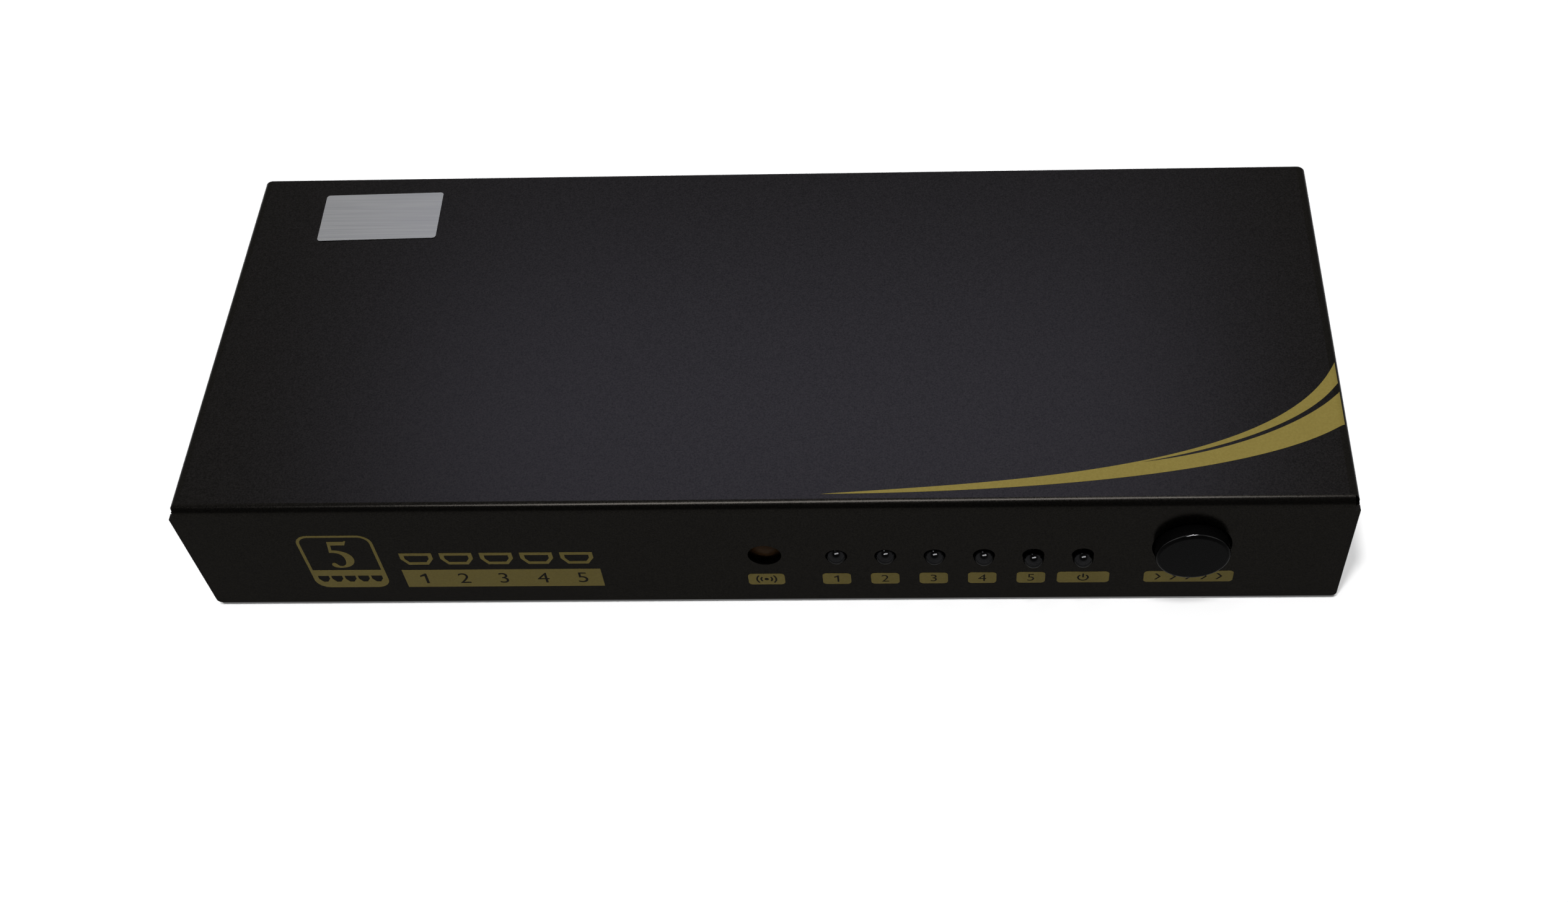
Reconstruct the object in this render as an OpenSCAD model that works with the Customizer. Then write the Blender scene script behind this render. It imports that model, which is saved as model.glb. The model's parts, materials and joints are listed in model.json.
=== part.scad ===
// Video switch box: a folded steel cover over a tray that carries one circuit board.
// Millimetres. The origin is on the table under the middle of the body, and the front faces -Y.

/* [Case] */
// Width of the cover, outside
case_w = 165; // [158:0.5:200]
// Depth of the cover, from the front face to the rear edge
case_d = 64.5; // [60:0.5:90]
// Height of the cover, from its lower edge to the lid
case_h = 23.3; // [22:0.1:32]
// Thickness of the steel sheet
sheet = 1; // [0.8:0.05:1.2]
// Outside radius of the bends
bend_r = 1.5; // [1.3:0.05:2]
// Gap between the cover and the tray inside it
fit_gap = 0.2; // [0.1:0.05:0.4]
// Gap of the seam between the front and each side
seam_gap = 0.2; // [0.1:0.05:0.4]
// Depth of the relief notch at each front corner
notch_d = 0.8; // [0.4:0.1:1.2]
// How far the relief notch reaches below the bend
notch_drop = 0.2; // [0.1:0.05:0.6]
// Radius of the lower corners of the front
corner_r = 0.8; // [0.3:0.1:1.5]

/* [Tray and feet] */
// Height of the tray's underside above the cover's lower edge
tray_lift = 0.7; // [0.3:0.05:1]
// Height of the tray's front lip
lip_h = 4.5; // [3:0.1:5]
// Height of the side tabs that take the cover screws
tab_h = 8.5; // [7.5:0.1:12]
// Length of a side tab
tab_l = 14; // [10:0.5:18]
// Distance of each side tab from the middle of the case
tab_y = 18; // [14:0.5:20]
// Width of the relief slot beside a side tab
tab_relief = 0.6; // [0.3:0.05:1]
// Diameter of a foot
foot_d = 9; // [6:0.1:12]
// Thickness of a foot
foot_t = 1.5; // [1.2:0.05:3]
// Chamfer round the bottom of a foot
foot_chamfer = 0.3; // [0.1:0.05:0.5]
// Distance of a foot's centre from the tray's edges
foot_inset = 9; // [8:0.1:14]

/* [Screws] */
// Diameter of all the screws
screw_d = 3; // [2.5:0.1:3.2]
// Radial gap between a screw and its thread
thread_gap = 0.05; // [0.02:0.01:0.1]
// Radial gap between a screw and a plain hole
screw_gap = 0.2; // [0.1:0.05:0.4]
// Diameter of a screw head
head_d = 5.6; // [5:0.1:6]
// Height of a screw head
head_h = 1.6; // [1.2:0.1:2]
// Crown radius of a screw head
head_crown_r = 5; // [4:0.1:8]
// Width of a slot in the cross recess
recess_w = 0.7; // [0.5:0.05:0.9]
// Length of a slot in the cross recess
recess_l = 3; // [2:0.1:3.5]
// Depth of the cross recess
recess_h = 1; // [0.5:0.05:1.1]
// Shank length of a cover screw
cover_screw_l = 4.5; // [4:0.1:5]
// Height of the cover screws above the cover's lower edge
cover_screw_z = 4.6; // [4:0.1:5]
// Shank length of a board screw
board_screw_l = 5; // [4:0.1:5.5]

/* [Circuit board] */
// Thickness of the board
board_t = 1.6; // [1.2:0.1:2]
// Gap from the outside of each case side to the board
board_side = 4.5; // [4:0.1:6]
// Gap from the front face to the board
board_front = 2.75; // [2.6:0.05:4]
// Gap from the rear face to the board
board_rear = 1.8; // [1.4:0.05:2.4]
// Height of the standoffs between tray and board
standoff_h = 5; // [4.4:0.1:5.6]
// Diameter of a standoff
standoff_d = 5.5; // [5:0.1:6.5]
// Diameter of the standoff's rivet spigot in the tray
spigot_d = 4; // [3.6:0.1:4.6]
// Radial gap round the rivet spigot
spigot_gap = 0.05; // [0.02:0.01:0.1]
// Distance of a standoff from the side edge of the board
standoff_side = 4.5; // [4:0.1:6]
// Distance of the front standoffs from the front edge of the board
standoff_front = 8; // [5:0.1:12]
// Distance of the rear standoffs from the rear edge of the board
standoff_rear = 16; // [15.5:0.1:20]
// Thickness of a square wire lead
lead_w = 0.5; // [0.4:0.02:0.6]
// Gap between a lead's corners and its hole in the board
lead_gap = 0.1; // [0.05:0.01:0.2]
// How far leads and legs stand out below the board
lead_tail = 1.2; // [0.8:0.1:1.6]

/* [Lamps] */
// Distance from the last lamp to the button
lamp_to_button = 15.2; // [13:0.1:18]
// Distance between lamps
lamp_pitch = 7; // [6:0.05:7.3]
// Height of the lamps above the cover's lower edge
lamp_z = 11.2; // [11:0.05:13]
// Diameter of a lamp's dome
lamp_d = 3; // [2.8:0.05:3.2]
// Radial gap between a lamp and its hole
lamp_gap = 0.07; // [0.03:0.01:0.2]
// Length of a lamp from its base to its tip
lamp_l = 5.3; // [4.8:0.05:6]
// Diameter of the lamp's base flange
lamp_flange_d = 3.8; // [3.6:0.05:4]
// Thickness of the lamp's base flange
lamp_flange_t = 1; // [0.6:0.05:1.2]
// How far the flat on the flange lies from the lamp's axis
lamp_flat = 1.6; // [1.5:0.02:1.7]
// How far each lamp's tip stands out of the front
lamp_proud = [1.1, 1.2, 1.35, 1.55, 2, 1.95]; // [0.8:0.05:2.4]
// Distance between the two leads of a lamp
lamp_lead_pitch = 2.54; // [2:0.01:2.7]
// Distance of the row of lamp lead holes from the front face
lamp_hole_row = 7; // [6.2:0.1:9]

/* [Receiver] */
// Distance from the receiver to the first lamp
ir_to_lamp = 10.2; // [8:0.1:14]
// Height of the receiver's lens above the cover's lower edge
ir_z = 11.6; // [11:0.1:13]
// Diameter of the receiver's hole
ir_hole_d = 4.8; // [4:0.1:5.5]
// Diameter of the receiver's lens
ir_lens_d = 5; // [4.4:0.1:5.6]
// Crown height of the lens
ir_lens_h = 0.8; // [0.6:0.05:0.9]
// Width of the receiver's body
ir_w = 6; // [5.8:0.1:7]
// Thickness of the receiver's body
ir_t = 2.6; // [2:0.1:3.2]
// Height of the receiver's body
ir_h = 6.6; // [6.2:0.1:7.4]
// Gap between the front sheet and the receiver's body
ir_gap = 0.5; // [0.4:0.05:0.8]
// Gap between the receiver's body and the board
ir_lift = 0.3; // [0.1:0.05:0.4]
// Distance between the receiver's leads
ir_lead_pitch = 2.54; // [2:0.01:2.6]
// Distance of the receiver's lead holes behind its body
ir_lead_run = 1.6; // [1.2:0.1:3]

/* [Button and push switch] */
// Distance of the button from the right side of the case
button_side = 22.1; // [19:0.1:26]
// Height of the button above the cover's lower edge
button_z = 13.2; // [12.8:0.1:14.5]
// Diameter of the button
button_d = 10.5; // [9:0.1:11.5]
// Radial gap between the button and its hole
button_gap = 0.35; // [0.25:0.05:0.6]
// How far the button stands out of the front
button_proud = 2.1; // [1.8:0.05:3]
// Length of the button
button_l = 6.5; // [5.5:0.1:8]
// Thickness of the button's face
button_face = 2; // [1.2:0.1:2.4]
// Thickness of the button's skirt
button_skirt = 1.1; // [0.8:0.05:1.5]
// Radius round the button's face
button_edge_r = 0.5; // [0.2:0.05:0.8]
// Diameter of the boss inside the button
button_boss_d = 6; // [5.6:0.1:6.4]
// How far the button travels when pressed
button_travel = 1.5; // [1:0.1:1.7]
// Gap that is left round the pressed button, to the switch and to the notch in the board
button_clear = 0.6; // [0.4:0.1:1]
// Width of the switch housing
housing_w = 8.5; // [8:0.1:9]
// Length of the switch housing
housing_l = 9.2; // [9:0.1:11]
// Wall of the switch housing
housing_wall = 0.9; // [0.7:0.05:1]
// Width of the square plunger
plunger_w = 3.2; // [2.8:0.05:3.4]
// Gap on each side of the plunger in the housing and the button
plunger_gap = 0.08; // [0.04:0.01:0.1]
// Gap between the sliding contact and the housing's floor
slide_gap = 0.25; // [0.15:0.01:0.4]
// Thickness of the plunger's collar
collar_t = 1.4; // [1:0.1:1.6]
// Diameter of the stem inside the return spring
stem_d = 2; // [1.6:0.1:2.2]
// Gap between the plunger's stops and the housing
stop_gap = 0.1; // [0.05:0.01:0.2]
// Wire diameter of the return spring
spring_wire = 0.4; // [0.3:0.02:0.44]
// Gap between the stem and the return spring
spring_gap = 0.6; // [0.3:0.05:0.7]
// Number of turns in the return spring
spring_turns = 6; // [4:1:6]
// Thickness of the sheet in the switch's frame
frame_t = 0.3; // [0.2:0.05:0.4]
// How far the frame reaches down the housing
frame_drop = 5; // [3:0.1:6]
// Thickness of the sliding contact under the collar
wiper_t = 0.3; // [0.2:0.05:0.35]
// Distance between the two rows of switch pins
pin_row = 4.5; // [4:0.1:5]
// Distance between the pins in a row
pin_pitch = 2; // [1.8:0.1:2.2]

/* [Sockets] */
// Position of the output socket, from the middle
output_x = 45; // [42:0.5:46]
// Distance between sockets
socket_pitch = 21; // [18:0.1:22]
// Width inside a socket
socket_w = 14; // [13.8:0.05:14.4]
// Height inside a socket
socket_h = 4.55; // [4.4:0.05:4.8]
// Width of the socket's flat floor
socket_floor_w = 10.4; // [9.8:0.1:11]
// Height of the socket's slanted lower corners
socket_lean_h = 2; // [1.6:0.05:2.4]
// Thickness of a socket's metal shell
shell_t = 0.4; // [0.25:0.05:0.5]
// Length of a socket's shell
shell_l = 11.5; // [10.5:0.1:12]
// How far the sockets stand out of the rear panel
socket_proud = 1; // [0.8:0.05:1.5]
// How far the lip round a socket's mouth stands out
mouth_lip = 0.3; // [0.1:0.05:0.4]
// Length of the lip round a socket's mouth
mouth_lip_l = 0.5; // [0.3:0.05:0.7]
// Gap between a socket or the jack and its cut-out
panel_gap = 0.5; // [0.45:0.05:0.7]
// Width of a shell's solder leg
leg_w = 1.4; // [1:0.1:1.8]
// Distance of the front pair of legs from the shell's inner end
leg_inset = 1.6; // [1.2:0.1:2]
// Distance between the two pairs of legs
leg_pitch = 4.8; // [4:0.1:5.5]
// Gap on each side of a leg in its slot in the board
leg_gap = 0.1; // [0.05:0.01:0.2]
// Length of the insulator's block at the inner end
insulator_l = 3.6; // [3:0.1:4.5]
// Gap between the insulator and the shell
insulator_gap = 0.05; // [0.02:0.01:0.1]
// Width of the tongue
tongue_w = 11; // [10.6:0.1:11.4]
// Thickness of the tongue
tongue_t = 1.4; // [1.2:0.05:1.6]
// How far the tongue lies back from the mouth
tongue_back = 2.3; // [1.4:0.1:2.6]
// Distance between neighbouring contacts
contact_pitch = 0.5; // [0.46:0.01:0.52]
// Width of a contact
contact_w = 0.28; // [0.2:0.01:0.32]
// Thickness of a contact
contact_t = 0.2; // [0.12:0.01:0.25]
// Length of a contact's foot on the board
contact_foot = 1; // [0.6:0.1:1.4]

/* [Power jack] */
// Position of the power jack, from the middle
jack_x = 64; // [62:0.5:66]
// Width of the jack's body
jack_w = 9; // [8.6:0.1:9.6]
// Height of the jack's body
jack_h = 10.5; // [10.2:0.1:11]
// Length of the jack from its mouth to its back
jack_l = 13.5; // [12:0.1:14]
// Height of the jack's axis above the board
jack_axis = 6; // [5.6:0.1:6.2]
// Diameter of the jack's nose in the rear panel
jack_nose_d = 8.4; // [8:0.1:8.6]
// Diameter of the jack's mouth
jack_bore_d = 6.3; // [5.8:0.1:6.6]
// Depth of the jack's mouth
jack_bore_l = 9.5; // [8.5:0.1:10]
// Diameter of the jack's centre pin
jack_pin_d = 2; // [1.6:0.05:2.5]
// How far the pin lies back from the mouth
jack_pin_back = 2.3; // [1.2:0.1:3]
// How far the jack stands out of the rear panel
jack_proud = 1; // [0.6:0.05:1.5]
// Thickness of the jack's terminals
terminal_t = 0.5; // [0.3:0.05:0.6]
// Width of the jack's terminals
terminal_w = 2; // [1.6:0.1:2.4]

/* [Board components] */
// Width of the main switching chip
switch_ic_w = 12; // [8:0.5:14]
// Height of the chips
chip_h = 1.2; // [0.8:0.1:1.8]
// Gap between a chip's body and the board
chip_lift = 0.15; // [0.05:0.05:0.3]
// Width of a chip body with legs along both sides
chip_w = 3.9; // [3.5:0.1:4.5]
// Length of a chip's legs outside its body
chip_leg_l = 1; // [0.6:0.1:1.2]
// Width of a chip's leg
chip_leg_w = 0.42; // [0.3:0.02:0.5]
// Distance between a chip's legs
chip_pitch = 1.27; // [1.1:0.01:1.4]
// Diameter of a capacitor can
can_d = 6.3; // [5:0.1:7]
// Height of a capacitor can
can_h = 7.7; // [6:0.1:9]
// Length of the crystal's can
crystal_l = 11; // [9:0.1:12]
// Width of the crystal's can
crystal_w = 4.5; // [4:0.1:5]
// Height of the crystal's can
crystal_h = 3.5; // [2.5:0.1:4]
// Distance of the row of memory chips from the rear edge of the board
chip_row = 19.5; // [18.5:0.1:21]
// Distance of the row of small resistors from the rear edge of the board
resistor_row = 13; // [12.6:0.1:14]
// Length of a small resistor
resistor_l = 1.6; // [1:0.1:2]
// Width of a small resistor
resistor_w = 0.8; // [0.5:0.05:1.2]
// Height of a small resistor
resistor_h = 0.5; // [0.3:0.05:0.7]
// Distance between small resistors
resistor_pitch = 2.4; // [1.8:0.1:3]

/* [Foil label] */
// Width of the foil label
label_w = 18.5; // [10:0.5:30]
// Height of the foil label
label_h = 9.75; // [6:0.25:16]
// Thickness of the foil label
label_t = 0.1; // [0.05:0.01:0.2]
// Corner radius of the foil label
label_r = 0.5; // [0.2:0.1:1.5]
// Gap between the label's middle and the left side of the lid
label_side = 20.3; // [16:0.1:40]
// Gap between the label's middle and the rear edge of the lid
label_rear = 8.2; // [7.5:0.1:20]
// Turn of the label, in degrees
label_turn = 1.2; // [-3:0.1:3]

/* [Hidden] */
$fn = 48;
over = 1;
y_front = -case_d / 2;
y_back = case_d / 2;
notch_h = bend_r + notch_drop;

z_edge = foot_t - tray_lift;
z_lid = z_edge + case_h;
z_floor = foot_t + sheet;
z_board0 = z_floor + standoff_h;
z_board = z_board0 + board_t;

tray_w = case_w - 2 * (sheet + fit_gap);
tray_front = y_front + sheet + fit_gap;
tray_d = y_back - tray_front;
tray_mid = (tray_front + y_back) / 2;
tray_h = z_lid - sheet - fit_gap - foot_t;
foot_x = tray_w / 2 - foot_inset;
foot_ys = [tray_front + foot_inset, y_back - foot_inset];

board_w = case_w - 2 * board_side;
board_y0 = y_front + board_front;
board_y1 = y_back - board_rear;
standoff_x = board_w / 2 - standoff_side;
standoff_ys = [board_y0 + standoff_front, board_y1 - standoff_rear];
lead_end = z_board0 - lead_tail;
lead_hole_d = sqrt(2) * lead_w + 2 * lead_gap;

button_x = case_w / 2 - button_side;
lamp_count = len(lamp_proud);
lamp_x = button_x - lamp_to_button - (lamp_count - 1) * lamp_pitch;
lamp_xs = [for (i = [0:lamp_count - 1]) lamp_x + i * lamp_pitch];
lamp_axis = z_edge + lamp_z;
lamp_row_y = y_front + lamp_hole_row;

ir_x = lamp_x - ir_to_lamp;
ir_axis = z_edge + ir_z;
ir_y0 = y_front + sheet + ir_gap;
ir_y1 = ir_y0 + ir_t;
ir_lead_y = ir_y1 + ir_lead_run;
ir_lead_z = z_board + ir_lift + lead_w;
ir_crown_r = (pow(ir_lens_d / 2, 2) + pow(ir_lens_h, 2)) / (2 * ir_lens_h);

button_axis = z_edge + button_z;
button_y0 = y_front - button_proud;
button_y1 = button_y0 + button_l;
housing_y0 = button_y1 + button_travel + button_clear;
housing_y1 = housing_y0 + housing_l;
cavity_y0 = housing_y0 + housing_wall;
cavity_y1 = housing_y1 - housing_wall;
cavity_r = housing_w / 2 - housing_wall;
collar_w = 2 * (cavity_r - wiper_t - slide_gap);
collar_y0 = cavity_y0 + stop_gap;
collar_y1 = collar_y0 + collar_t;
stem_y1 = cavity_y1 - button_travel - stop_gap;
spring_r = stem_d / 2 + spring_gap + spring_wire / 2;
spring_sides = 6;
spring_rings_a_turn = 8;
spring_steps = spring_rings_a_turn * spring_turns;
spring_y0 = collar_y1 + stop_gap + spring_wire / 2;
spring_y1 = cavity_y1 - stop_gap - spring_wire / 2;
pin_ys = [for (i = [-1:1]) (cavity_y0 + cavity_y1) / 2 + i * pin_pitch];

socket_count = 6;
socket_names = ["output", "input_1", "input_2", "input_3", "input_4", "input_5"];
lean = atan2((socket_w - socket_floor_w) / 2, socket_lean_h);
contact_count = 19;
leg_ys = [for (i = [0:1]) leg_inset + leg_w / 2 + i * leg_pitch - shell_l];
tongue_z0 = shell_t + (socket_h - tongue_t) / 2;
tongue_z1 = tongue_z0 + tongue_t;

jack_floor = jack_axis - jack_bore_d / 2;
chip_row_y = board_y1 - chip_row;
resistor_row_y = board_y1 - resistor_row;
resistors_each = 4;
switch_ic_at = [-14, -5];
controller_at = [36, -8];
regulator_at = [56, 3];
crystal_at = [22, -8];
capacitors_at = [[49, 7], [49, -2]];

// A box given by its lowest and highest corners
module span(low, high) {
  translate(low) cube(high - low);
}

// A flat shape in X and Z, carried from y0 to y1
module along_y(y0, y1) {
  translate([0, y1, 0]) rotate([90, 0, 0]) linear_extrude(y1 - y0) children();
}

// A flat shape in Y and Z, carried from x0 to x1
module along_x(x0, x1) {
  translate([x0, 0, 0]) rotate([90, 0, 90]) linear_extrude(x1 - x0) children();
}

// A round bar along Y
module bar_y(d, y0, y1) {
  translate([0, y1, 0]) rotate([90, 0, 0]) cylinder(d = d, h = y1 - y0);
}

// A rectangle on its base line with two round upper corners
module arch(w, h, r) {
  translate([-w / 2, 0]) square([w, h - r]);
  translate([r - w / 2, 0]) square([w - 2 * r, h]);
  for (side = [-1, 1]) translate([side * (w / 2 - r), h - r]) circle(r);
}

// The same with two round lower corners
module trough(w, h, r) {
  translate([0, h]) mirror([0, 1]) arch(w, h, r);
}

// A rectangle with four round corners, centred
module round_plate(w, h, r) {
  square([w, h - 2 * r], center = true);
  square([w - 2 * r, h], center = true);
  for (sx = [-1, 1], sy = [-1, 1]) translate([sx * (w / 2 - r), sy * (h / 2 - r)]) circle(r);
}

// A pan-head screw along +Z with the underside of its head at zero
module pan_screw(l) {
  difference() {
    intersection() {
      cylinder(d = head_d, h = head_h);
      translate([0, 0, head_h - head_crown_r]) sphere(head_crown_r);
    }
    for (turn = [0, 90]) rotate(turn) translate([0, 0, head_h - recess_h]) {
      linear_extrude(recess_h + over) square([recess_l, recess_w], center = true);
    }
  }
  translate([0, 0, -l]) cylinder(d = screw_d - 2 * thread_gap, h = l);
}

// Places of the screws, one child each

module at_cover_screws() {
  for (side = [-1, 1], end = [-1, 1]) {
    translate([side * case_w / 2, end * tab_y, z_edge + cover_screw_z]) rotate([0, side * 90, 0]) children();
  }
}

module at_standoffs() {
  for (side = [-1, 1], y = standoff_ys) translate([side * standoff_x, y, 0]) children();
}

// Case

module lid_section() {
  difference() {
    arch(case_w, case_h, bend_r);
    translate([0, -over]) arch(case_w - 2 * sheet, case_h - sheet + over, bend_r - sheet);
  }
}

// The front bend in Y and Z, from the notch up to where the lid is flat
module front_bend() {
  translate([0, case_h - notch_h]) square([sheet, notch_drop]);
  translate([bend_r, case_h - bend_r]) intersection() {
    difference() {
      circle(bend_r);
      circle(bend_r - sheet);
    }
    translate([-bend_r, 0]) square(bend_r);
  }
}

// A round hole through the front sheet
module front_hole(d, x, z) {
  translate([x, 0, z]) bar_y(d, y_front - over, y_front + sheet + over);
}

module front_holes() {
  for (x = lamp_xs) front_hole(lamp_d + 2 * lamp_gap, x, lamp_axis);
  front_hole(ir_hole_d, ir_x, ir_axis);
  front_hole(button_d + 2 * button_gap, button_x, button_axis);
}

module top_cover() {
  color("#1d1d1f") difference() {
    union() {
      difference() {
        translate([0, 0, z_edge]) along_y(y_front + sheet + seam_gap, y_back) lid_section();
        span([-case_w, y_front - over, z_lid - notch_h], [case_w, y_front + bend_r, z_lid + over]);
      }
      translate([0, y_front, z_edge]) along_x(notch_d - case_w / 2, case_w / 2 - notch_d) front_bend();
      translate([0, 0, z_edge]) along_y(y_front, y_front + sheet) trough(case_w, case_h - notch_h, corner_r);
    }
    front_holes();
    at_cover_screws() translate([0, 0, -2 * sheet]) cylinder(d = screw_d + 2 * screw_gap, h = 3 * sheet);
  }
}

module tray_section() {
  difference() {
    translate([tray_mid, foot_t]) trough(tray_d, tray_h, bend_r);
    translate([tray_mid, z_floor]) trough(tray_d - 2 * sheet, tray_h, bend_r - sheet);
    translate([tray_front - over, foot_t + lip_h]) square([2 * over + sheet, tray_h]);
  }
}

module tab_section() {
  difference() {
    translate([0, foot_t]) trough(tray_w, tab_h, bend_r);
    translate([0, z_floor]) trough(tray_w - 2 * sheet, tab_h, bend_r - sheet);
  }
}

module panel_cutouts() {
  for (i = [0:socket_count - 1]) {
    at_socket(i) along_y(-socket_proud - 2 * sheet, over) socket_outline(shell_t + panel_gap);
  }
  at_jack() translate([0, 0, jack_axis]) bar_y(jack_nose_d + 2 * panel_gap, -jack_proud - 2 * sheet, over);
}

// Clearance cut from the floor's edge for the bend of each side tab
module tab_reliefs() {
  half = tab_l / 2 + tab_relief;
  for (side = [-1, 1], end = [-1, 1]) {
    translate([side * tray_w / 2, end * tab_y, 0]) span([-bend_r, -half, 0], [bend_r, half, z_floor + over]);
  }
}

module bottom_tray() {
  color("#232325") difference() {
    union() {
      difference() {
        along_x(-tray_w / 2, tray_w / 2) tray_section();
        tab_reliefs();
      }
      for (end = [-1, 1]) along_y(end * tab_y - tab_l / 2, end * tab_y + tab_l / 2) tab_section();
    }
    panel_cutouts();
    at_standoffs() cylinder(d = spigot_d + 2 * spigot_gap, h = z_floor + over);
    at_cover_screws() translate([0, 0, -4 * sheet]) cylinder(d = screw_d, h = 4 * sheet);
  }
}

module rubber_feet() {
  color("#151515") for (side = [-1, 1], y = foot_ys) translate([side * foot_x, y, 0]) {
    cylinder(d1 = foot_d - 2 * foot_chamfer, d2 = foot_d, h = foot_chamfer);
    translate([0, 0, foot_chamfer]) cylinder(d = foot_d, h = foot_t - foot_chamfer);
  }
}

module cover_screws() {
  color("#2b2b2d") at_cover_screws() pan_screw(cover_screw_l);
}

module foil_label() {
  spot = [label_side - case_w / 2, y_back - label_rear, z_lid];
  color("#c4c8cc") translate(spot) rotate(label_turn) {
    linear_extrude(label_t) round_plate(label_w, label_h, label_r);
  }
}

// Circuit board and what holds it

module wire_holes() {
  spots = concat(
    [for (x = lamp_xs, s = [-1, 1]) [x + s * lamp_lead_pitch / 2, lamp_row_y]],
    [for (i = [-1:1]) [ir_x + i * ir_lead_pitch, ir_lead_y]],
    [for (s = [-1, 1], y = pin_ys) [button_x + s * pin_row / 2, y]]
  );
  for (p = spots) translate([p.x, p.y, z_board0 - over]) cylinder(d = lead_hole_d, h = board_t + 2 * over);
}

module leg_slots() {
  for (i = [0:socket_count - 1]) at_socket(i) shell_legs(leg_gap);
  at_jack() jack_terminals(leg_gap);
}

// The notch in the board's front edge that the button moves in
module button_notch() {
  half = button_d / 2 + button_clear;
  translate([button_x, 0, z_board0]) {
    span([-half, board_y0 - over, -over], [half, housing_y0, board_t + over]);
  }
}

module circuit_board() {
  color("#1f5a37") difference() {
    span([-board_w / 2, board_y0, z_board0], [board_w / 2, board_y1, z_board]);
    wire_holes();
    leg_slots();
    button_notch();
    at_standoffs() cylinder(d = screw_d + 2 * screw_gap, h = z_board + over);
  }
}

module board_standoffs() {
  color("#b9a66a") at_standoffs() difference() {
    union() {
      translate([0, 0, foot_t]) cylinder(d = spigot_d, h = sheet);
      translate([0, 0, z_floor]) cylinder(d = standoff_d, h = standoff_h);
    }
    cylinder(d = screw_d, h = z_board);
  }
}

module board_screws() {
  color("#a8abae") at_standoffs() translate([0, 0, z_board]) pan_screw(board_screw_l);
}

// Lamps and receiver

function lamp_base(i) = y_front - lamp_proud[i] + lamp_l;

module lamp(i) {
  color("#dfe6e8", 0.6) translate([lamp_xs[i], lamp_base(i), lamp_axis]) rotate([90, 0, 0]) {
    difference() {
      cylinder(d = lamp_flange_d, h = lamp_flange_t);
      span([lamp_flat, -lamp_flange_d, -over], [lamp_flange_d, lamp_flange_d, lamp_flange_t + over]);
    }
    cylinder(d = lamp_d, h = lamp_l - lamp_d / 2);
    translate([0, 0, lamp_l - lamp_d / 2]) sphere(d = lamp_d);
  }
}

// A square lead that runs back at height z, then down through the board
module bent_lead(x, y0, y1, z) {
  half = lead_w / 2;
  span([x - half, y0, z - half], [x + half, y1 + half, z + half]);
  span([x - half, y1 - half, lead_end], [x + half, y1 + half, z - half]);
}

module led_leads() {
  color("#b8bcc0") for (i = [0:lamp_count - 1], s = [-1, 1]) {
    bent_lead(lamp_xs[i] + s * lamp_lead_pitch / 2, lamp_base(i), lamp_row_y, lamp_axis);
  }
}

module ir_receiver() {
  color("#3a2a1c") {
    span([ir_x - ir_w / 2, ir_y0, z_board + ir_lift], [ir_x + ir_w / 2, ir_y1, z_board + ir_lift + ir_h]);
    translate([ir_x, 0, ir_axis]) intersection() {
      translate([0, ir_y0 - ir_lens_h + ir_crown_r, 0]) sphere(ir_crown_r);
      bar_y(ir_lens_d, ir_y0 - ir_lens_h, ir_y0);
    }
  }
}

module ir_leads() {
  color("#b8bcc0") for (i = [-1:1]) bent_lead(ir_x + i * ir_lead_pitch, ir_y1, ir_lead_y, ir_lead_z);
}

// Button and push switch, drawn round the button's own axis

module at_button() {
  translate([button_x, 0, button_axis]) children();
}

// A square bar along Y, centred on the axis
module square_bar(w, y0, y1) {
  span([-w / 2, y0, -w / 2], [w / 2, y1, w / 2]);
}

module button_cap() {
  color("#101012") at_button() difference() {
    translate([0, button_y1, 0]) rotate([90, 0, 0]) rotate_extrude() {
      square([button_d / 2, button_l - button_edge_r]);
      square([button_d / 2 - button_edge_r, button_l]);
      translate([button_d / 2 - button_edge_r, button_l - button_edge_r]) circle(button_edge_r);
    }
    difference() {
      bar_y(button_d - 2 * button_skirt, button_y0 + button_face, button_y1 + over);
      bar_y(button_boss_d, button_y0 + button_face - over, button_y1 + 2 * over);
    }
    square_bar(plunger_w + 2 * plunger_gap, button_y0 + button_face, button_y1 + over);
  }
}

module switch_plunger() {
  color("#e9e7df") at_button() {
    square_bar(plunger_w, button_y0 + button_face, collar_y0);
    square_bar(collar_w, collar_y0, collar_y1);
    bar_y(stem_d, collar_y1, stem_y1);
  }
}

module switch_wiper() {
  color("#c08a4a") at_button() {
    span([-collar_w / 2, collar_y0, -collar_w / 2 - wiper_t], [collar_w / 2, collar_y1, -collar_w / 2]);
  }
}

// One point on the skin of the return spring's wire
function spring_point(step, side) =
  let (turn = 360 * spring_turns * step / spring_steps)
  let (skin = 360 * side / spring_sides)
  let (r = spring_r + spring_wire / 2 * cos(skin))
  let (y = spring_y0 + (spring_y1 - spring_y0) * step / spring_steps)
  [r * cos(turn), y + spring_wire / 2 * sin(skin), r * sin(turn)];

module switch_spring() {
  points = [for (step = [0:spring_steps], side = [0:spring_sides - 1]) spring_point(step, side)];
  next = function(side) (side + 1) % spring_sides;
  wall = [for (step = [0:spring_steps - 1], side = [0:spring_sides - 1])
    let (a = step * spring_sides)
    let (b = a + spring_sides)
    each [[a + side, b + side, b + next(side)], [a + side, b + next(side), a + next(side)]]];
  last = spring_steps * spring_sides;
  caps = [for (side = [1:spring_sides - 2])
    each [[0, side, side + 1], [last, last + side + 1, last + side]]];
  color("#d0d2d4") at_button() polyhedron(points, concat(wall, caps));
}

module switch_pin_set() {
  for (s = [-1, 1], y = pin_ys) {
    translate([s * pin_row / 2, y, 0]) {
      span([-lead_w / 2, -lead_w / 2, lead_end - button_axis], [lead_w / 2, lead_w / 2, -cavity_r]);
    }
  }
}

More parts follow.
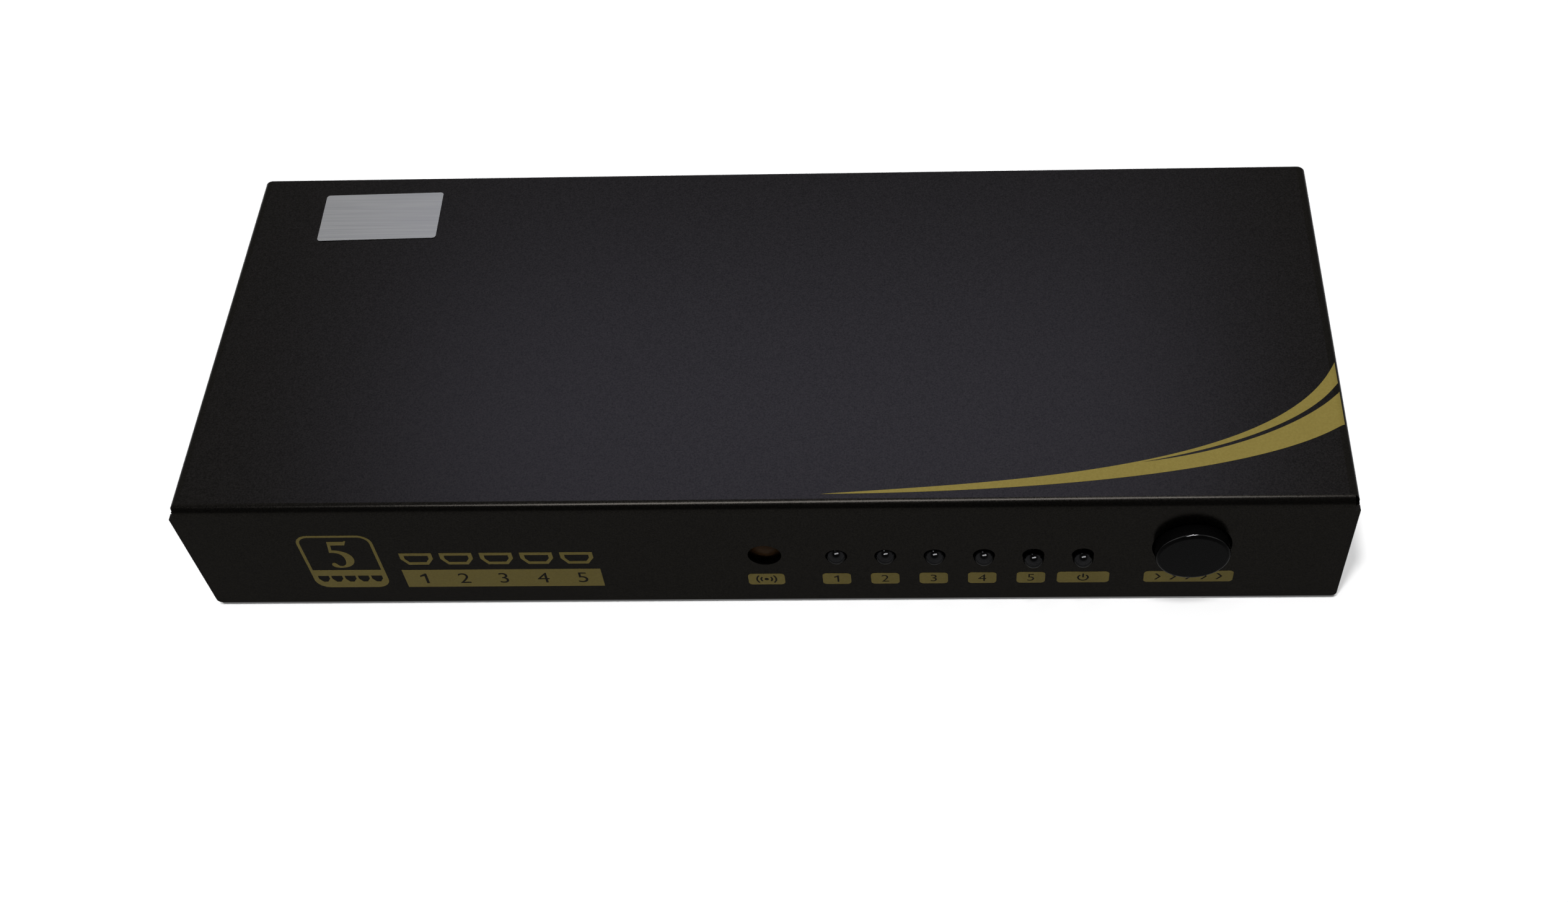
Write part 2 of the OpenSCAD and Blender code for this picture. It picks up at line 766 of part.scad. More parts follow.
module switch_housing() {
  color("#2a2a2c") at_button() difference() {
    span([-housing_w / 2, housing_y0, z_board - button_axis], [housing_w / 2, housing_y1, housing_w / 2]);
    span([-cavity_r, cavity_y0, -cavity_r], [cavity_r, cavity_y1, housing_w / 2 + over]);
    square_bar(plunger_w + 2 * plunger_gap, housing_y0 - over, cavity_y0 + over);
    switch_pin_set();
  }
}

module switch_frame() {
  outer = housing_w / 2 + frame_t;
  color("#c9ccd0") at_button() difference() {
    span([-outer, housing_y0, housing_w / 2 - frame_drop], [outer, housing_y1, outer]);
    span([-housing_w / 2, housing_y0 - over, -housing_w], [housing_w / 2, housing_y1 + over, housing_w / 2]);
  }
}

module switch_pins() {
  color("#b8bcc0") at_button() switch_pin_set();
}

// Sockets, each drawn with its mouth at y = 0 and the board's top at z = 0

function socket_x(i) = output_x - i * socket_pitch;

module at_socket(i) {
  translate([socket_x(i), y_back + socket_proud, z_board]) children();
}

// The socket's inside outline in X and Z, grown by g
module socket_outline(g) {
  top = [socket_w / 2 + g, socket_h + g];
  knee = [socket_w / 2 + g, socket_lean_h - g * tan(lean / 2)];
  foot = [socket_floor_w / 2 + g * tan(45 - lean / 2), -g];
  half = [top, knee, foot];
  left = [for (i = [2:-1:0]) [-half[i].x, half[i].y]];
  translate([0, shell_t]) polygon(concat(half, left));
}

module shell_legs(gap) {
  for (side = [-1, 1], y = leg_ys) {
    x = side * (socket_w + shell_t) / 2;
    half = [shell_t / 2 + gap, leg_w / 2 + gap];
    span([x - half.x, y - half.y, -board_t - lead_tail], [x + half.x, y + half.y, socket_lean_h + shell_t]);
  }
}

module socket_shell(i) {
  color("#c3c6c9") at_socket(i) difference() {
    union() {
      along_y(-shell_l, 0) socket_outline(shell_t);
      along_y(-mouth_lip_l, 0) socket_outline(shell_t + mouth_lip);
      shell_legs(0);
    }
    along_y(-shell_l - over, over) socket_outline(0);
  }
}

// One contact: a strip along the tongue, a tail down to the board and a foot on it
module contact(i) {
  x = (i - (contact_count - 1) / 2) * contact_pitch;
  upper = i % 2 == 0;
  z0 = upper ? tongue_z1 - contact_t : tongue_z0;
  tail = -shell_l - contact_t;
  half = contact_w / 2;
  span([x - half, -shell_l, z0], [x + half, -tongue_back - contact_t, z0 + contact_t]);
  span([x - half, tail, 0], [x + half, -shell_l, z0 + contact_t]);
  span([x - half, tail - contact_foot, 0], [x + half, tail, contact_t]);
}

module contact_set() {
  for (i = [0:contact_count - 1]) contact(i);
}

module socket_insulator(i) {
  color("#17171a") at_socket(i) difference() {
    union() {
      along_y(-shell_l, insulator_l - shell_l) socket_outline(-insulator_gap);
      span([-tongue_w / 2, insulator_l - shell_l, tongue_z0], [tongue_w / 2, -tongue_back, tongue_z1]);
    }
    contact_set();
  }
}

module socket_contacts(i) {
  color("#d6b25e") at_socket(i) contact_set();
}

// Power jack, drawn with its mouth at y = 0 and the board's top at z = 0

module at_jack() {
  translate([jack_x, y_back + jack_proud, z_board]) children();
}

// The two terminals below the jack, grown by a gap
module jack_terminals(gap) {
  half = terminal_w / 2 + gap;
  span([-half, -jack_l - terminal_t - gap, -board_t - lead_tail], [half, -jack_l + gap, over]);
  span([-half, -jack_bore_l - gap, -board_t - lead_tail], [half, terminal_t - jack_bore_l + gap, over]);
}

module jack_sleeve_contact() {
  half = terminal_w / 2;
  span([-half, -jack_bore_l, jack_floor], [half, -jack_bore_l / 2, jack_floor + terminal_t]);
  span([-half, -jack_bore_l, -board_t - lead_tail], [half, terminal_t - jack_bore_l, jack_floor]);
}

module dc_jack_body() {
  block_y = -jack_proud - sheet - panel_gap;
  color("#18181a") at_jack() difference() {
    union() {
      span([-jack_w / 2, -jack_l, 0], [jack_w / 2, block_y, jack_h]);
      translate([0, 0, jack_axis]) bar_y(jack_nose_d, block_y, 0);
    }
    translate([0, 0, jack_axis]) bar_y(jack_bore_d, -jack_bore_l, over);
    translate([0, 0, jack_axis]) bar_y(jack_pin_d + 2 * thread_gap, -jack_l - over, 0);
    jack_sleeve_contact();
  }
}

module dc_jack_pin() {
  half = terminal_w / 2;
  color("#c8cacc") at_jack() {
    translate([0, 0, jack_axis]) bar_y(jack_pin_d, -jack_l, -jack_pin_back);
    span([-half, -jack_l - terminal_t, -board_t - lead_tail], [half, -jack_l, jack_axis + jack_pin_d]);
  }
}

module dc_jack_spring() {
  color("#c8cacc") at_jack() jack_sleeve_contact();
}

// Components on the board

// A chip with legs along both long sides, n on each
module legged_chip(n) {
  l = n * chip_pitch;
  span([-l / 2, -chip_w / 2, chip_lift], [l / 2, chip_w / 2, chip_lift + chip_h]);
  for (i = [0:n - 1], s = [-1, 1]) {
    x = (i - (n - 1) / 2) * chip_pitch;
    half = chip_leg_w / 2;
    low = s > 0 ? chip_w / 2 : -chip_w / 2 - chip_leg_l;
    span([x - half, low, 0], [x + half, low + chip_leg_l, chip_lift + chip_leg_w]);
  }
}

module on_board(p) {
  translate([p.x, p.y, z_board]) children();
}

module switch_ic() {
  color("#222224") on_board(switch_ic_at) {
    linear_extrude(chip_h) round_plate(switch_ic_w, switch_ic_w, chip_lift);
  }
}

module controller_ic() {
  color("#222224") on_board(controller_at) legged_chip(8);
}

module memory_ics() {
  color("#222224") for (i = [1:socket_count - 1]) on_board([socket_x(i), chip_row_y]) legged_chip(4);
}

module regulator() {
  color("#222224") on_board(regulator_at) legged_chip(3);
}

module crystal() {
  half = (crystal_l - crystal_w) / 2;
  color("#b4b8bb") on_board(crystal_at) {
    span([-half, -crystal_w / 2, 0], [half, crystal_w / 2, crystal_h]);
    for (side = [-1, 1]) translate([side * half, 0, 0]) cylinder(d = crystal_w, h = crystal_h);
  }
}

module capacitors() {
  color("#26303f") for (p = capacitors_at) on_board(p) {
    base = can_d + chip_lift;
    translate([-base / 2, -base / 2, 0]) cube([base, base, chip_h]);
    translate([0, 0, chip_h]) cylinder(d = can_d, h = can_h - chip_h);
  }
}

module chip_resistors() {
  color("#3b3f45") for (i = [0:socket_count - 1], k = [0:resistors_each - 1]) {
    x = socket_x(i) + (k - (resistors_each - 1) / 2) * resistor_pitch;
    on_board([x, resistor_row_y]) {
      span([-resistor_w / 2, -resistor_l / 2, 0], [resistor_w / 2, resistor_l / 2, resistor_h]);
    }
  }
}

top_cover();
bottom_tray();
rubber_feet();
cover_screws();
foil_label();
circuit_board();
board_standoffs();
board_screws();
for (i = [0:lamp_count - 2]) {
  lamp(i);
}
lamp(lamp_count - 1);  // power_led
led_leads();
ir_receiver();
ir_leads();
button_cap();
switch_plunger();
switch_wiper();
switch_spring();
switch_housing();
switch_frame();
switch_pins();
for (i = [0:socket_count - 1]) {
  socket_shell(i);
  socket_insulator(i);
  socket_contacts(i);
}
dc_jack_body();
dc_jack_pin();
dc_jack_spring();
switch_ic();
controller_ic();
memory_ics();
regulator();
crystal();
capacitors();
chip_resistors();
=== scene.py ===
import json
import math

import bmesh
import bpy
from mathutils import Matrix, Quaternion, Vector


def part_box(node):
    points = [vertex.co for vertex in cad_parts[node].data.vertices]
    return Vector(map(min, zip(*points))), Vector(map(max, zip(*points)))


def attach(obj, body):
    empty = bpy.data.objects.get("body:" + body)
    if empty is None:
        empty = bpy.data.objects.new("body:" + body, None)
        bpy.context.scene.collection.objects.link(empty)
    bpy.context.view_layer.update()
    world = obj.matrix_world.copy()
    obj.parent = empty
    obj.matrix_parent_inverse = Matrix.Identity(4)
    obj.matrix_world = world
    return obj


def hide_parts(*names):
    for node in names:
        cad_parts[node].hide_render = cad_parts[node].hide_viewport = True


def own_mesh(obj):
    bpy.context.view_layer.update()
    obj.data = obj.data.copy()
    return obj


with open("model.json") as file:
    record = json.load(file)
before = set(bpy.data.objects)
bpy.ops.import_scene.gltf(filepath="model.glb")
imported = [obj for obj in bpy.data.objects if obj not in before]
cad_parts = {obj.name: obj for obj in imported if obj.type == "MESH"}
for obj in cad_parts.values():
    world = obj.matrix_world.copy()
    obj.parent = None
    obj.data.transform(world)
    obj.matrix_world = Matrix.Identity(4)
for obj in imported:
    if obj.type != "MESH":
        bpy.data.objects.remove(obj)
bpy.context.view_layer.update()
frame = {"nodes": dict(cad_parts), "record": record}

# Sizes and places are in millimetres, and MM turns them into metres
MM = 0.001
INPUTS = 5

# Print: how far it stands out of a surface and reaches into it
INK_RISE = 0.02
INK_DEPTH = 0.02

# Pads that carry a number or a sign
PAD_H = 2.8
PAD_R = 0.6
NUMBER_PAD_W = 4.1
SIGN_PAD_W = 5.3
POWER_PAD_W = 7.5
BUTTON_PAD_W = 12.8
NUMBER_H = 1.75

# Bend between the lid and a side, on its outside
BEND_R = 1.5

# Lamps: a round body on a flange that has a flat on its right
LAMP_NAMES = ("led_1", "led_2", "led_3", "led_4", "led_5", "power_led")
LAMP_R = 1.5
LAMP_FLANGE_R = 1.9
LAMP_FLANGE_T = 1.0
LAMP_FLAT = 1.6

# Sockets: the sheet of the shell and the lip that turns out at its mouth
SOCKET_NAMES = ("output", "input_1", "input_2", "input_3", "input_4", "input_5")
SHELL_T = 0.4
MOUTH_LIP = 0.3


def corners(node):
    """Lowest and highest corner of a node of the frame, in millimetres."""
    low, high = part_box(node)
    return Vector(low) / MM, Vector(high) / MM


def centre(node):
    low, high = corners(node)
    return (low + high) / 2


def axis_x(node):
    """Place of a node's axis across the box. A lamp is measured from its left, away from its flat."""
    if node in LAMP_NAMES:
        return corners(node)[0].x + LAMP_FLANGE_R
    return centre(node).x


FRONT_Y = corners("top_cover")[0].y
BACK_Y = corners("bottom_tray")[1].y
LID_Z = corners("top_cover")[1].z
SIDE_X = corners("top_cover")[1].x

# Places for flat pieces: local X and Y lie on the surface and local Z points out of it
ON_FRONT = Matrix(((1, 0, 0, 0), (0, 0, -1, FRONT_Y), (0, 1, 0, 0), (0, 0, 0, 1)))
ON_BACK = Matrix(((-1, 0, 0, 0), (0, 0, 1, BACK_Y), (0, 1, 0, 0), (0, 0, 0, 1)))


# Outlines: a closed curve is a list of (point, handle before, handle after)
def polygon(*points):
    return [(p, p, p) for p in points]


def box_outline(x0, y0, x1, y1):
    return polygon((x0, y0), (x1, y0), (x1, y1), (x0, y1))


def arc(cx, cy, r, start, end):
    """Points along a circular arc between two angles in degrees."""
    count = max(1, math.ceil(abs(end - start) / 90))
    step = math.radians(end - start) / count
    reach = 4 / 3 * math.tan(step / 4) * r
    points = []
    for i in range(count + 1):
        turn = math.radians(start) + i * step
        x = cx + r * math.cos(turn)
        y = cy + r * math.sin(turn)
        lean = (-reach * math.sin(turn), reach * math.cos(turn))
        before = (x, y) if i == 0 else (x - lean[0], y - lean[1])
        after = (x, y) if i == count else (x + lean[0], y + lean[1])
        points.append(((x, y), before, after))
    return points


def circle(cx, cy, r):
    points = arc(cx, cy, r, 0, 360)
    first = (points[0][0], points[-1][1], points[0][2])
    return [first] + points[1:-1]


def rounded_box(x0, y0, x1, y1, r):
    bottom = arc(x0 + r, y0 + r, r, 180, 270) + arc(x1 - r, y0 + r, r, 270, 360)
    top = arc(x1 - r, y1 - r, r, 0, 90) + arc(x0 + r, y1 - r, r, 90, 180)
    return bottom + top


def arc_band(cx, cy, r, width, start, end):
    return arc(cx, cy, r + width / 2, start, end) + arc(cx, cy, r - width / 2, end, start)


def mapped(outlines, change):
    """Outlines whose points and handles have gone through a function of x and y."""
    return [[tuple(change(x, y) for x, y in point) for point in outline] for outline in outlines]


def moved(outlines, dx, dy):
    return mapped(outlines, lambda x, y: (x + dx, y + dy))


def input_row(outlines, pitch):
    """One copy of a mark for each input, in a row centred on the origin."""
    middle = (INPUTS - 1) / 2
    return [copy for i in range(INPUTS) for copy in moved(outlines, pitch * (i - middle), 0)]


# Numerals, centred on the origin
def numeral_one(height):
    """A plain 1 with a short flag. Its points are shares of the height."""
    stem = ((0.18, 0.5), (0.18, -0.5), (0.02, -0.5), (0.02, 0.24))
    flag = ((-0.23, 0.14), (-0.23, 0.28), (0.08, 0.5))
    return mapped([polygon(*stem, *flag)], lambda x, y: (x * height, y * height))


def numeral(text, height):
    """A plain numeral from the built-in font, apart from the 1, which has its own outline."""
    if text == "1":
        return numeral_one(height)
    font = bpy.data.curves.new("numeral", "FONT")
    font.body = text
    holder = bpy.data.objects.new("numeral", font)
    bpy.context.scene.collection.objects.link(holder)
    shape = holder.to_curve(bpy.context.evaluated_depsgraph_get())
    outlines = []
    for spline in shape.splines:
        points = spline.bezier_points
        outlines.append([(p.co[:2], p.handle_left[:2], p.handle_right[:2]) for p in points])
    holder.to_curve_clear()
    bpy.data.objects.remove(holder)
    xs = [point[0][0] for outline in outlines for point in outline]
    ys = [point[0][1] for outline in outlines for point in outline]
    mid_x = (max(xs) + min(xs)) / 2
    mid_y = (max(ys) + min(ys)) / 2
    grow = height / (max(ys) - min(ys))
    return mapped(outlines, lambda x, y: ((x - mid_x) * grow, (y - mid_y) * grow))


def serif_five(height):
    """A plain 5 with thick and thin strokes. Its points are shares of the width and the height."""
    width = 0.82 * height
    mid_x, mid_y = 0.34, 0.49
    flag = polygon((0.15, 0.97), (0.57, 0.97), (0.63, 1.0), (0.65, 0.99), (0.58, 0.84), (0.21, 0.84))
    bowl = [
        ((0.18, 0.65), (0.18, 0.65), (0.3, 0.66)),
        ((0.66, 0.32), (0.66, 0.58), (0.66, 0.1)),
        ((0.23, -0.02), (0.46, -0.02), (0.1, -0.02)),
        ((0.02, 0.09), (0.02, 0.03), (0.02, 0.14)),
        ((0.09, 0.17), (0.05, 0.17), (0.17, 0.17)),
        ((0.25, 0.04), (0.17, 0.04), (0.37, 0.04)),
        ((0.43, 0.29), (0.43, 0.14), (0.43, 0.46)),
        ((0.09, 0.56), (0.36, 0.57), (0.09, 0.56)),
    ]
    return mapped([flag + bowl], lambda x, y: ((x - mid_x) * width, (y - mid_y) * height))


# Generic signs, centred on the origin
SIGN_LINE = 0.26


def receiver_mark():
    """A dot with two waves on either side."""
    dot_r, half_wave = 0.32, 42
    outlines = [circle(0, 0, dot_r)]
    for r in (0.8, 1.4):
        for side in (0, 180):
            outlines.append(arc_band(0, 0, r, SIGN_LINE, side - half_wave, side + half_wave))
    return outlines


def power_mark():
    """An open ring with a stroke in its gap."""
    ring_r, ring_y, start, end = 0.72, -0.1, 125, 415
    stroke = box_outline(-SIGN_LINE / 2, -0.05, SIGN_LINE / 2, 0.9)
    return [arc_band(0, ring_y, ring_r, SIGN_LINE, start, end), stroke]


def step_mark():
    """A row of chevrons that point to the next input."""
    pitch = 2.2
    chevron = polygon((-0.5, 0.8), (-0.15, 0.8), (0.5, 0), (-0.15, -0.8), (-0.5, -0.8), (0.15, 0))
    return input_row([chevron], pitch)


def socket_mark(width, height, line=0):
    """A socket's mouth, solid or as a line of a given width."""
    slope = 0.312
    half = width / 2
    top = height / 2
    foot = half - slope * height
    left = ((-half, top), (-half, 0), (-foot, -top))
    right = ((foot, -top), (half, 0), (half, top))
    outlines = [polygon(*left, *right)]
    if line:
        outlines += socket_mark(width - 2 * line, height - 2 * line)
    return outlines


def screen_mark():
    """A screen on its stand."""
    screen = rounded_box(-1.5, -0.55, 1.5, 1.1, 0.2)
    window = rounded_box(-1.26, -0.31, 1.26, 0.86, 0.08)
    stand = box_outline(-0.7, -1.1, 0.7, -0.8)
    return [screen, window, stand]


def direct_current_mark():
    """A line over three dashes."""
    line = box_outline(-1.06, 0.1, 1.06, 0.35)
    dashes = [box_outline(x - 0.26, -0.45, x + 0.26, -0.2) for x in (-0.8, 0, 0.8)]
    return [line] + dashes


# Meshes
def settle(mesh):
    """Welds a mesh in metres, points its faces outwards and shades its round parts smooth."""
    weld, sharp_angle = 1e-8, math.radians(35)
    shape = bmesh.new()
    shape.from_mesh(mesh)
    bmesh.ops.remove_doubles(shape, verts=shape.verts, dist=weld)
    bmesh.ops.recalc_face_normals(shape, faces=shape.faces)
    shape.to_mesh(mesh)
    shape.free()
    mesh.shade_smooth()
    mesh.set_sharp_from_angle(angle=sharp_angle)


def make_piece(name, mesh, place, material, body="box"):
    """Puts a mesh made in millimetres at its place on a body."""
    mesh.transform(Matrix.Scale(MM, 4) @ place)
    settle(mesh)
    mesh.materials.clear()
    mesh.materials.append(material)
    piece = bpy.data.objects.new(name, mesh)
    bpy.context.scene.collection.objects.link(piece)
    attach(piece, body)
    return piece


def curve_mesh(curve):
    holder = bpy.data.objects.new(curve.name, curve)
    bpy.context.scene.collection.objects.link(holder)
    depsgraph = bpy.context.evaluated_depsgraph_get()
    mesh = bpy.data.meshes.new_from_object(holder.evaluated_get(depsgraph))
    bpy.data.objects.remove(holder)
    return mesh


def flat_mesh(outlines, low, high):
    """A plate between two heights. An outline inside another is a hole, and inside that solid."""
    curve = bpy.data.curves.new("plate", "CURVE")
    curve.dimensions = "2D"
    curve.fill_mode = "BOTH"
    curve.extrude = (high - low) / 2
    curve.resolution_u = 8
    for outline in outlines:
        spline = curve.splines.new("BEZIER")
        spline.bezier_points.add(len(outline) - 1)
        spline.use_cyclic_u = True
        for target, (point, before, after) in zip(spline.bezier_points, outline):
            target.handle_left_type = "FREE"
            target.handle_right_type = "FREE"
            target.co = (*point, 0)
            target.handle_left = (*before, 0)
            target.handle_right = (*after, 0)
    mesh = curve_mesh(curve)
    mesh.transform(Matrix.Translation((0, 0, (high + low) / 2)))
    return mesh


def lathe_mesh(profile, sides=48):
    """Turns (radius, height) pairs about Z. The first and the last lie on the axis."""
    turns = [math.tau * i / sides for i in range(sides)]
    shape = bmesh.new()
    rings = []
    for radius, height in profile:
        if radius == 0:
            rings.append([shape.verts.new((0, 0, height))] * sides)
            continue
        spots = [(radius * math.cos(t), radius * math.sin(t), height) for t in turns]
        rings.append([shape.verts.new(spot) for spot in spots])
    for lower, upper in zip(rings, rings[1:]):
        for i in range(sides):
            j = (i + 1) % sides
            face = dict.fromkeys((lower[i], lower[j], upper[j], upper[i]))
            shape.faces.new(list(face))
    mesh = bpy.data.meshes.new("turned")
    shape.to_mesh(mesh)
    shape.free()
    return mesh


def dome_profile(r, base):
    """Profile of a dome of radius r, from its edge at the height base to its tip on the axis."""
    steps = 14
    turns = [math.pi / 2 * i / steps for i in range(steps)]
    return [(r * math.cos(t), base + r * math.sin(t)) for t in turns] + [(0, base + r)]


# Materials
def graded(name, dark, light, grain, rough, bump, stretch=(1, 1, 1), **sockets):
    """A material whose colour, roughness and relief follow one noise.

    grain is the noise's size and bump its height, in millimetres.
    sockets are shader values that are the same all over.
    """
    noise_low, noise_high = 0.3, 0.7
    material = bpy.data.materials.new(name)
    material.use_nodes = True
    nodes = material.node_tree.nodes
    link = material.node_tree.links.new
    shader = nodes["Principled BSDF"]
    place = nodes.new("ShaderNodeTexCoord")
    mapping = nodes.new("ShaderNodeMapping")
    mapping.inputs["Scale"].default_value = stretch
    noise = nodes.new("ShaderNodeTexNoise")
    noise.inputs["Scale"].default_value = 1 / (grain * MM)
    noise.inputs["Detail"].default_value = 3.0
    colour = nodes.new("ShaderNodeValToRGB")
    stops = colour.color_ramp.elements
    for stop, position, shade in zip(stops, (noise_low, noise_high), (dark, light)):
        stop.position = position
        stop.color = (*shade, 1)
    spread = nodes.new("ShaderNodeMapRange")
    spread.inputs["From Min"].default_value = noise_low
    spread.inputs["From Max"].default_value = noise_high
    spread.inputs["To Min"].default_value = rough[0]
    spread.inputs["To Max"].default_value = rough[1]
    relief = nodes.new("ShaderNodeBump")
    relief.inputs["Strength"].default_value = 1.0
    relief.inputs["Distance"].default_value = bump * MM
    link(place.outputs["Object"], mapping.inputs["Vector"])
    link(mapping.outputs["Vector"], noise.inputs["Vector"])
    link(noise.outputs["Fac"], colour.inputs["Fac"])
    link(noise.outputs["Fac"], spread.inputs["Value"])
    link(noise.outputs["Fac"], relief.inputs["Height"])
    link(colour.outputs["Color"], shader.inputs["Base Color"])
    link(spread.outputs["Result"], shader.inputs["Roughness"])
    link(relief.outputs["Normal"], shader.inputs["Normal"])
    for socket, value in sockets.items():
        shader.inputs[socket.replace("_", " ")].default_value = value
    return material


paint = graded(
    "satin_black_coat", (0.0055, 0.0051, 0.0045), (0.0112, 0.0103, 0.009),
    grain=0.2, rough=(0.16, 0.22), bump=0.0015,
    Metallic=0.85, Specular_Tint=(0.5, 0.5, 0.5, 1), Specular_IOR_Level=0.03,
)
gold_ink = graded(
    "gold_ink", (0.186, 0.145, 0.033), (0.214, 0.169, 0.042),
    grain=0.3, rough=(0.42, 0.52), bump=0.003, Specular_IOR_Level=0.05,
)
rubber = graded(
    "matt_rubber", (0.008, 0.008, 0.008), (0.014, 0.014, 0.014),
    grain=0.4, rough=(0.7, 0.85), bump=0.02,
)
black_steel = graded(
    "blackened_steel", (0.014, 0.014, 0.015), (0.03, 0.03, 0.032),
    grain=0.5, rough=(0.32, 0.5), bump=0.008, Metallic=0.6,
)
foil = graded(
    "brushed_foil", (0.148, 0.148, 0.132), (0.182, 0.182, 0.162),
    grain=0.25, rough=(0.32, 0.4), bump=0.004, stretch=(0.02, 1, 1), Metallic=1.0,
)
board = graded(
    "solder_mask", (0.004, 0.045, 0.016), (0.008, 0.075, 0.028),
    grain=3.0, rough=(0.25, 0.35), bump=0.02,
)
brass = graded(
    "turned_brass", (0.5, 0.32, 0.1), (0.62, 0.42, 0.15),
    grain=0.4, rough=(0.25, 0.4), bump=0.004, Metallic=1.0,
)
steel = graded(
    "plated_steel", (0.42, 0.42, 0.41), (0.56, 0.56, 0.55),
    grain=0.5, rough=(0.22, 0.36), bump=0.004, Metallic=1.0,
)
# Near-black base with a mostly metal reflection: painted shade that stands in for the dark inside of the
# box seen through clear epoxy
clear_lamp = graded(
    "epoxy_with_painted_shade", (0.01, 0.01, 0.0105), (0.014, 0.014, 0.0145),
    grain=2.0, rough=(0.03, 0.06), bump=0.0,
    Transmission_Weight=1.0, IOR=1.53, Metallic=0.85, Specular_Tint=(0.1, 0.1, 0.1, 1),
)
receiver = graded(
    "infrared_epoxy", (0.032, 0.016, 0.0065), (0.048, 0.025, 0.01),
    grain=1.5, rough=(0.35, 0.45), bump=0.004, Specular_IOR_Level=0.02,
)
button = graded(
    "black_button", (0.0014, 0.0014, 0.0014), (0.0022, 0.0021, 0.0021),
    grain=0.3, rough=(0.12, 0.18), bump=0.001, Specular_IOR_Level=0.014,
)
button_edge = graded(
    "polished_edge", (0.024, 0.024, 0.024), (0.032, 0.032, 0.032),
    grain=0.3, rough=(0.1, 0.14), bump=0.0, Metallic=1.0, Specular_Tint=(0.1, 0.1, 0.1, 1),
)
white_plastic = graded(
    "natural_plastic", (0.58, 0.56, 0.49), (0.66, 0.64, 0.57),
    grain=1.5, rough=(0.4, 0.55), bump=0.008,
)
black_plastic = graded(
    "moulded_plastic", (0.009, 0.009, 0.0095), (0.015, 0.015, 0.016),
    grain=0.5, rough=(0.4, 0.55), bump=0.01,
)
nickel = graded(
    "nickel_sheet", (0.5, 0.49, 0.46), (0.63, 0.62, 0.59),
    grain=0.35, rough=(0.22, 0.36), bump=0.004, stretch=(1, 0.15, 1), Metallic=1.0,
)
contact = graded(
    "gold_contact", (0.72, 0.48, 0.16), (0.84, 0.6, 0.24),
    grain=0.3, rough=(0.2, 0.32), bump=0.002, Metallic=1.0,
)
chip = graded(
    "chip_moulding", (0.012, 0.012, 0.013), (0.022, 0.022, 0.023),
    grain=0.25, rough=(0.5, 0.65), bump=0.01,
)
can = graded(
    "aluminium_can", (0.5, 0.51, 0.52), (0.64, 0.65, 0.66),
    grain=0.4, rough=(0.25, 0.4), bump=0.004, stretch=(1, 1, 0.1), Metallic=1.0,
)
lamp_frame = graded(
    "lamp_frame", (0.1, 0.1, 0.098), (0.16, 0.16, 0.155),
    grain=0.3, rough=(0.25, 0.4), bump=0.002, Metallic=1.0,
)

# The record's material slots
FINISHES = {
    "black_paint": paint, "black_steel": black_steel, "rubber": rubber, "foil": foil, "board": board,
    "brass": brass, "steel": steel, "clear_lamp": clear_lamp, "receiver": receiver, "button": button,
    "white_plastic": white_plastic, "black_plastic": black_plastic, "shell": nickel, "contact": contact,
    "chip": chip, "can": can,
}


def dress_frame():
    """Gives every node of the frame the finish that the record names for it."""
    for part in frame["record"]["subparts"]:
        mesh = frame["nodes"][part["node"]].data
        mesh.materials.clear()
        mesh.materials.append(FINISHES[part["material_slot"]])


def polish_button_edge():
    """Makes the button glossier where its face turns into its side."""
    least_forward, most_forward = 0.15, 0.4
    mesh = frame["nodes"]["button_cap"].data
    mesh.materials.append(button_edge)
    for face in mesh.polygons:
        if least_forward < -face.normal.y < most_forward:
            face.material_index = 1


# Print
def print_on(name, outlines, place):
    return make_piece(name, flat_mesh(outlines, -INK_DEPTH, INK_RISE), place, gold_ink)


def pad(x, low, width, mark):
    """A filled pad with its mark left open, so that the coat shows through."""
    outline = rounded_box(x - width / 2, low, x + width / 2, low + PAD_H, PAD_R)
    return [outline] + moved(mark, x, low + PAD_H / 2)


def front_pads():
    """A pad under each piece of the front row: name, node, shift from its axis, width and mark."""
    low = 4.8
    pads = [("pad_receiver", "ir_receiver", -0.2, SIGN_PAD_W, receiver_mark())]
    for i in range(1, INPUTS + 1):
        pads.append((f"pad_{i}", f"led_{i}", -0.2, NUMBER_PAD_W, numeral(str(i), NUMBER_H)))
    pads.append(("pad_power", "power_led", 0.3, POWER_PAD_W, power_mark()))
    pads.append(("pad_select", "button_cap", 0.2, BUTTON_PAD_W, step_mark()))
    for name, node, shift, width, mark in pads:
        print_on(name, pad(axis_x(node) + shift, low, width, mark), ON_FRONT)


def port_badge():
    """A framed 5 over a band in which a row of sockets is left open."""
    left, right = -66.3, -55.4
    low, band, high = 4.8, 9.35, 18.15
    line, r = 0.45, 2.0
    five_h, five_drop = 6.7, 0.35
    socket_size, socket_pitch = 1.6, 1.95
    mid = (left + right) / 2
    outer = rounded_box(left, low, right, high, r)
    window = polygon((left + line, band), (right - line, band))
    window += arc(right - r, high - r, r - line, 0, 90) + arc(left + r, high - r, r - line, 90, 180)
    five = moved(serif_five(five_h), mid, (band + high) / 2 - five_drop)
    sockets = input_row(socket_mark(socket_size, socket_size), socket_pitch)
    marks = moved(sockets, mid, (low + band) / 2)
    print_on("badge_five_ports", [outer, window] + five + marks, ON_FRONT)


